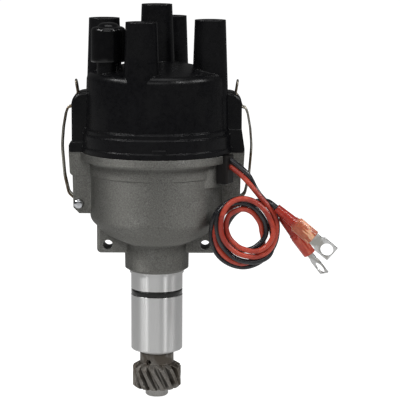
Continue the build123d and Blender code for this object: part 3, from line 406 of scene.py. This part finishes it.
# the plain finishes: colour and gloss wander with the grain, whose scale, bump and depth are given
# edge is the radius that edges are softened by; the edge colour is what shows there, wear on most finishes
# and a painted highlight on the cap plastic, and a stain is (colour, scale, cover); Metallic and Specular IOR
# Level go straight to the shader
finishes = {
    "capPlastic": {
        "dark": (0.0018, 0.0018, 0.0024), "light": (0.003, 0.003, 0.0038), "rough": (0.24, 0.34),
        "scale": 500, "bump": 0.1, "depth": 0.00005, "edge": 0.0008,
        # the edge colour is lighter than the plastic: a painted highlight along the edges
        "worn": (0.010, 0.010, 0.011), "wear": 0.4, "stain": ((0.0045, 0.0045, 0.005), 45, 0.35),
        "Specular IOR Level": 0.19,
    },
    "ventRubber": {
        "dark": (0.0022, 0.0022, 0.0026), "light": (0.0036, 0.0036, 0.004), "rough": (0.13, 0.18),
        "scale": 350, "bump": 0.04, "depth": 0.00003, "edge": 0.0014,
        "Specular IOR Level": 0.3,
    },
    "sealRubber": {
        "dark": (0.002, 0.002, 0.002), "light": (0.004, 0.004, 0.004), "rough": (0.2, 0.28),
        "scale": 900, "bump": 0.05, "edge": 0.0008,
        "Specular IOR Level": 0.4,
    },
    "grommetRubber": {
        "dark": (0.004, 0.0033, 0.003), "light": (0.008, 0.0065, 0.006), "rough": (0.45, 0.6),
        "scale": 900, "bump": 0.3, "depth": 0.00012, "edge": 0.0005, "worn": (0.02, 0.017, 0.016),
        "Specular IOR Level": 0.25,
    },
    "gearSteel": {
        "dark": (0.135, 0.125, 0.112), "light": (0.25, 0.235, 0.215), "rough": (0.4, 0.6),
        "scale": 1300, "bump": 0.3, "depth": 0.00012, "edge": 0.0004,
        "worn": (0.42, 0.39, 0.34), "wear": 0.8, "stain": ((0.10, 0.085, 0.07), 120, 0.4),
        "Metallic": 0.85,
    },
    "turnedSteel": {
        "dark": (0.27, 0.265, 0.255), "light": (0.39, 0.38, 0.365), "rough": (0.25, 0.4),
        "scale": 1500, "bump": 0.12, "depth": 0.00005, "edge": 0.0003, "worn": (0.7, 0.69, 0.66),
        "Metallic": 1.0,
    },
    "springWire": {
        "dark": (0.34, 0.33, 0.28), "light": (0.52, 0.50, 0.44), "rough": (0.22, 0.36),
        "scale": 1800, "bump": 0.1, "depth": 0.00004, "stain": ((0.16, 0.12, 0.08), 90, 0.35),
        "Metallic": 1.0,
    },
    "chromedSteel": {
        "dark": (0.50, 0.51, 0.53), "light": (0.62, 0.63, 0.65), "rough": (0.1, 0.18),
        "scale": 900, "bump": 0.04, "depth": 0.00003,
        "Metallic": 1.0,
    },
    "zincPlate": {
        "dark": (0.45, 0.45, 0.42), "light": (0.62, 0.61, 0.56), "rough": (0.25, 0.4),
        "scale": 1100, "bump": 0.12, "depth": 0.00005,
        "worn": (0.7, 0.69, 0.66), "stain": ((0.42, 0.38, 0.28), 70, 0.4),
        "Metallic": 1.0,
    },
    "tinnedCopper": {
        "dark": (0.50, 0.50, 0.49), "light": (0.74, 0.74, 0.73), "rough": (0.28, 0.45),
        "scale": 1200, "bump": 0.25, "depth": 0.00008, "edge": 0.00035,
        # the edge colour is darker than the tin: the edges are darkened
        "worn": (0.16, 0.16, 0.155), "wear": 0.8, "stain": ((0.40, 0.39, 0.36), 140, 0.35),
        "Metallic": 1.0,
    },
    "sinteredBronze": {
        "dark": (0.30, 0.17, 0.07), "light": (0.44, 0.27, 0.12), "rough": (0.4, 0.6),
        "scale": 2200, "bump": 0.35, "edge": 0.0003, "worn": (0.6, 0.4, 0.2),
        "Metallic": 0.95,
    },
    "darkSinter": {
        "dark": (0.05, 0.045, 0.04), "light": (0.10, 0.09, 0.085), "rough": (0.4, 0.6),
        "scale": 1800, "bump": 0.3, "worn": (0.2, 0.18, 0.16),
        "Metallic": 0.8,
    },
    "graphite": {
        "dark": (0.015, 0.015, 0.016), "light": (0.035, 0.035, 0.036), "rough": (0.45, 0.65),
        "scale": 2500, "bump": 0.2,
    },
    "feltWick": {
        "dark": (0.14, 0.11, 0.07), "light": (0.26, 0.21, 0.14), "rough": (0.8, 0.95),
        "scale": 3500, "bump": 0.8, "depth": 0.0003,
    },
    "moduleEpoxy": {
        "dark": (0.010, 0.010, 0.012), "light": (0.022, 0.022, 0.025), "rough": (0.35, 0.6),
        "scale": 300, "bump": 0.3, "edge": 0.0004, "worn": (0.04, 0.04, 0.042),
    },
    "redJacket": {
        "dark": (0.43, 0.045, 0.022), "light": (0.50, 0.062, 0.032), "rough": (0.3, 0.42),
        "scale": 450, "bump": 0.08, "depth": 0.00006, "stain": ((0.30, 0.028, 0.016), 90, 0.35),
        "Specular IOR Level": 0.5,
    },
    "blackJacket": {
        "dark": (0.007, 0.007, 0.010), "light": (0.014, 0.014, 0.018), "rough": (0.2, 0.3),
        "scale": 450, "bump": 0.08, "depth": 0.00006, "stain": ((0.03, 0.028, 0.03), 90, 0.3),
        "Specular IOR Level": 0.5,
    },
}


def finish(name, dark, light, rough, scale=600, bump=0.15, depth=0.0001, edge=0.0002, worn=None, wear=0.5,
           stain=None, **plain):
    material, tree, shader = newMaterial(name, **plain)
    soft = useGroup(tree, softEdge, Radius=edge)
    skin = addSkin(tree, grain, (scale, bump, depth), soft)
    spread = stretch(tree, skin["Value"], *noiseSpan)
    colour = blendColours(tree, spread, dark, light)
    if stain:
        tint, size, cover = stain
        marks = useGroup(tree, blotch, Scale=size, Cover=cover)["Mask"]
        colour = blendColours(tree, marks, colour, tint)
    # along the edges the colour moves toward the edge colour: wear on most finishes, a painted highlight on
    # the cap plastic
    if worn:
        colour = blendColours(tree, calculate(tree, "MULTIPLY", soft["Mask"], wear), colour, worn)
    feed(tree, shader["Base Color"], colour)
    feed(tree, shader["Roughness"], blendValues(tree, spread, *rough))
    feed(tree, shader["Normal"], skin["Normal"])
    return material


# inside the bowl both leads are one piece: the upper one is black and the lower one red
pairFinish = {"split": 0.0634, "grain": (450, 0.08, 0.00006), "edge": 0.0002, "rough": (0.28, 0.4)}


def pairedJackets():
    f = pairFinish
    red, black = finishes["redJacket"], finishes["blackJacket"]
    material, tree, shader = newMaterial("pairedJackets")
    upper = calculate(tree, "GREATER_THAN", splitPlace(tree)["Z"], f["split"])
    soft = useGroup(tree, softEdge, Radius=f["edge"])
    skin = addSkin(tree, grain, f["grain"], soft)
    lower = blendColours(tree, skin["Value"], red["dark"], red["light"])
    dark = blendColours(tree, skin["Value"], black["dark"], black["light"])
    feed(tree, shader["Base Color"], blendColours(tree, upper, lower, dark))
    feed(tree, shader["Roughness"], blendValues(tree, skin["Value"], *f["rough"]))
    feed(tree, shader["Normal"], skin["Normal"])
    return material


# the sleeves: red nylon, deep over the wire, and over the barrel a painted highlight along the crimp's folds
sleeveFinish = {
    "grip": ((0.27, 0.014, 0.008), (0.40, 0.03, 0.015)),
    "rough": (0.28, 0.4),
    "specular": 0.3,
    "subsurface": (0.25, 0.002, (1.0, 0.25, 0.1)),
    "coat": (0.2, 0.08),
    "edge": 0.0005,
    "grain": (420, 0.05, 0.00008),
    "grainSpan": (0.35, 0.65),
    "crimp": (0.0115, 0.0145),  # from the sleeve's mouth
    "folds": (520.0, 0.8),  # their scale, and how much they are drawn out along the sleeve
    "foldSpan": (0.52, 0.6),
}
# mouth and direction of each, and its barrel's dark and light and the painted highlight on its folds: the
# front one shows copper
sleeves = {
    "redSleeve": {
        "mouth": (0.06795, -0.0202, 0.0344),
        "along": (0.6065, 0.0352, -0.7943),
        "barrel": ((0.42, 0.048, 0.028), (0.50, 0.07, 0.042), (0.58, 0.12, 0.07)),
    },
    "blackSleeve": {
        "mouth": (0.0649, -0.0282, 0.04075),
        "along": (0.7712, -0.0386, -0.6355),
        "barrel": ((0.36, 0.085, 0.04), (0.48, 0.14, 0.07), (0.80, 0.42, 0.26)),
    },
}


def nylonSleeve(name, mouth, along, barrel):
    f = sleeveFinish
    weight, scale, radii = f["subsurface"]
    coat, coatRough = f["coat"]
    material, tree, shader = newMaterial(name, **{
        "Specular IOR Level": f["specular"], "Coat Weight": coat, "Coat Roughness": coatRough,
        "Subsurface Weight": weight, "Subsurface Scale": scale, "Subsurface Radius": radii,
    })
    soft = useGroup(tree, softEdge, Radius=f["edge"])
    skin = addSkin(tree, grain, f["grain"], soft)
    spread = stretch(tree, skin["Value"], *f["grainSpan"])
    offset = combine(tree, "SUBTRACT", objectPlace(tree), mouth)
    reach = combine(tree, "DOT_PRODUCT", offset, along, "Value")
    over = stretch(tree, reach, *f["crimp"])
    foldScale, drawnOut = f["folds"]
    drawn = addNode(tree, "ShaderNodeVectorMath", {
        0: along, "Scale": calculate(tree, "MULTIPLY", reach, drawnOut),
    }, operation="SCALE").outputs["Vector"]
    folds = addNode(tree, "ShaderNodeTexNoise", {
        "Vector": combine(tree, "SUBTRACT", offset, drawn), "Scale": foldScale, "Detail": 2.0,
    }).outputs["Fac"]
    dark, light, paintedFoldHighlight = barrel
    grip = blendColours(tree, spread, *f["grip"])
    # the folds over the barrel carry a painted highlight, tinted like the copper barrel
    crimped = blendColours(
        tree, stretch(tree, folds, *f["foldSpan"]), blendColours(tree, spread, dark, light), paintedFoldHighlight
    )
    feed(tree, shader["Base Color"], blendColours(tree, over, grip, crimped))
    feed(tree, shader["Roughness"], blendValues(tree, spread, *f["rough"]))
    feed(tree, shader["Normal"], skin["Normal"])
    return material


materials = {"castAluminium": castAluminium(), "pairedJackets": pairedJackets()}
for name, values in finishes.items():
    materials[name] = finish(name, **values)
for name, values in sleeves.items():
    materials[name] = nylonSleeve(name, **values)

# what each piece wears
wears = {
    "castAluminium": ["housing"],
    "sinteredBronze": ["upper_bushing", "lower_bushing"],
    "sealRubber": ["o_ring"],
    "grommetRubber": ["lead_grommet"],
    "capPlastic": ["distributor_cap", "rotor"],
    "ventRubber": ["vent_cap"],
    "moduleEpoxy": ["ignition_module"],
    "tinnedCopper": ["plug_terminals", "coil_terminal", "rotor_electrode", "rotor_contact_spring",
                     "red_lead_ring", "black_lead_ring"],
    "zincPlate": ["module_plate", "plate_screws", "module_screws", "weight_base_plate"],
    "chromedSteel": ["clip_pin_left", "clip_pin_right"],
    "springWire": ["clip_left", "clip_right", "advance_springs", "brush_spring", "sleeve_circlip",
                   "pivot_clips"],
    "turnedSteel": ["main_shaft", "weight_pivot_pins", "advance_weight_a", "advance_weight_b",
                    "advance_yoke", "cam_sleeve", "upper_thrust_washer", "lower_thrust_washer"],
    "gearSteel": ["drive_gear", "gear_pin"],
    "darkSinter": ["magnet_ring"],
    "graphite": ["carbon_brush"],
    "feltWick": ["felt_wick"],
    "redSleeve": ["red_lead_sleeve"],
    "blackSleeve": ["black_lead_sleeve"],
    "redJacket": ["red_lead", "lead_coil", "red_lead_tail"],
    "pairedJackets": ["module_leads"],
    "blackJacket": ["black_lead", "black_lead_tail"],
}
for finishName, pieces in wears.items():
    for name in pieces:
        giveMaterial(nodes[name], materials[finishName])
print("materials")

# round pieces whose facets would show: each node's own mesh, merged and smoothly shaded
smoothed = {
    "pieces": ["vent_cap", "o_ring", "clip_pin_left", "clip_pin_right"],
    "merge": 1e-6,
    "angle": 32,
}


def smoothCopy(name):
    piece = bpy.data.objects.new(name + "_smooth", nodes[name].data.copy())
    bpy.context.scene.collection.objects.link(piece)
    bpy.ops.object.select_all(action="DESELECT")
    bpy.context.view_layer.objects.active = piece
    piece.select_set(True)
    bpy.ops.object.mode_set(mode="EDIT")
    bpy.ops.mesh.select_all(action="SELECT")
    bpy.ops.mesh.remove_doubles(threshold=smoothed["merge"])
    bpy.ops.object.mode_set(mode="OBJECT")
    bpy.ops.object.shade_smooth_by_angle(angle=math.radians(smoothed["angle"]))
    return piece


for name in smoothed["pieces"]:
    piece = smoothCopy(name)
    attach(piece, next(body for body, held in bodies.items() if name in held))
    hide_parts(name)
print("smooth pieces")


# leads: places on the way in and out, and (angle, radius, depth) round the coil's middle between them
leads = {
    "diameter": 0.00285,
    "coil": (0.0479, 0.0270),
    "pointsPerTurn": 16,
    "sides": 5,
    "smoothness": 6,
}
redRoute = {
    "length": 0.306,
    "in": [
        (0.04015, -0.01872, 0.0616),
        (0.045, -0.021, 0.0584),
        (0.0496, -0.0235, 0.0538),
        (0.0536, -0.025, 0.0492),
        (0.0573, -0.026, 0.0447),
    ],
    "turns": [
        (50, 0.0193, -0.0266),
        (30, 0.0186, -0.0266),
        (0, 0.0172, -0.0263),
        (-45, 0.0166, -0.0273),
        (-90, 0.0124, -0.029),
        (-135, 0.011, -0.0293),
        (-180, 0.0126, -0.0293),
        (-206, 0.0142, -0.0292),
        (-225, 0.0166, -0.0291),
        (-240, 0.0187, -0.029),
        (-268, 0.0194, -0.029),
        (-295, 0.0178, -0.0292),
        (-315, 0.0163, -0.0293),
        (-341, 0.0155, -0.0294),
        (-360, 0.0159, -0.0294),
        (-405, 0.0132, -0.0291),
        (-450, 0.009, -0.0286),
        (-495, 0.0081, -0.0274),
        (-540, 0.0095, -0.0264),
        (-585, 0.0128, -0.0262),
        (-630, 0.0129, -0.026),
        (-675, 0.01, -0.0242),
        (-720, 0.0092, -0.0239),
        (-765, 0.0132, -0.0242),
        (-810, 0.018, -0.0252),
        (-855, 0.0172, -0.0258),
        (-900, 0.0162, -0.025),
        (-945, 0.0152, -0.0227),
        (-990, 0.0156, -0.0213),
    ],
    "out": [
        (0.0545, -0.0214, 0.0415),
        (0.0597, -0.0208, 0.0413),
        (0.0645, -0.0204, 0.03892),
        (0.06795, -0.0202, 0.0344),
    ],
}
blackRoute = {
    "length": 0.334,
    "in": [
        (0.04015, -0.01872, 0.0652),
        (0.0453, -0.0207, 0.0617),
        (0.0491, -0.0215, 0.0584),
        (0.0513, -0.0212, 0.0549),
        (0.0534, -0.0215, 0.0504),
        (0.0565, -0.0225, 0.0459),
    ],
    "turns": [
        (44, 0.0196, -0.0237),
        (0, 0.0179, -0.0228),
        (-22, 0.0182, -0.0215),
        (-45, 0.0186, -0.0223),
        (-90, 0.0202, -0.0231),
        (-135, 0.0198, -0.0239),
        (-180, 0.0182, -0.0229),
        (-225, 0.0186, -0.0234),
        (-270, 0.0184, -0.0233),
        (-292, 0.0175, -0.0243),
        (-315, 0.0158, -0.0236),
        (-360, 0.0146, -0.022),
        (-405, 0.0192, -0.0263),
        (-450, 0.016, -0.0275),
        (-495, 0.014, -0.028),
        (-540, 0.0146, -0.0276),
        (-585, 0.0189, -0.0263),
        (-630, 0.016, -0.026),
        (-675, 0.0129, -0.0262),
        (-720, 0.0119, -0.0263),
        (-765, 0.0101, -0.0262),
        (-810, 0.0102, -0.0252),
        (-855, 0.01, -0.0242),
        (-900, 0.0102, -0.0236),
        (-945, 0.0104, -0.0234),
        (-985, 0.0125, -0.0217),
    ],
    "out": [
        (0.0502, -0.0192, 0.0413),
        (0.0554, -0.0192, 0.0431),
        (0.0601, -0.0228, 0.0437),
        (0.0629, -0.0281, 0.0424),
        (0.0649, -0.0282, 0.04075),
    ],
}


def coilPoint(degrees, radius, depth):
    angle = math.radians(degrees)
    across, height = leads["coil"]
    return (across + radius * math.cos(angle), depth, height + radius * math.sin(angle))


def coilTurns(keys):
    # loose turns: the radius and the depth pass smoothly from each chosen place to the next
    first, last = keys[0][0], keys[-1][0]
    count = round((first - last) / 360 * leads["pointsPerTurn"])
    points = []
    for step in range(count + 1):
        at = first + (last - first) * step / count
        for (a, radiusA, depthA), (b, radiusB, depthB) in zip(keys, keys[1:]):
            if a >= at >= b - 1e-6:
                share = (a - at) / (a - b)
                share = share * share * (1.5 - share) + share * 0.5
                radius = radiusA + (radiusB - radiusA) * share
                points.append(coilPoint(at, radius, depthA + (depthB - depthA) * share))
                break
    return points


def makeLead(name, route, material):
    points = route["in"] + coilTurns(route["turns"]) + route["out"]
    curve = bpy.data.curves.new(name, "CURVE")
    curve.dimensions = "3D"
    curve.bevel_depth = leads["diameter"] / 2
    curve.bevel_resolution = leads["sides"]
    curve.resolution_u = leads["smoothness"]
    curve.use_fill_caps = True
    spline = curve.splines.new("NURBS")
    spline.points.add(len(points) - 1)
    for target, place in zip(spline.points, points):
        target.co = (*place, 1)
    spline.order_u = 3
    spline.use_endpoint_u = True
    lead = bpy.data.objects.new(name, curve)
    bpy.context.scene.collection.objects.link(lead)
    giveMaterial(lead, material)
    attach(lead, "body")
    return lead


redLead = makeLead("redLeadCord", redRoute, materials["redJacket"])
blackLead = makeLead("blackLeadCord", blackRoute, materials["blackJacket"])
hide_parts("red_lead", "red_lead_tail", "lead_coil")
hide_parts("black_lead", "black_lead_tail")
print("leads")
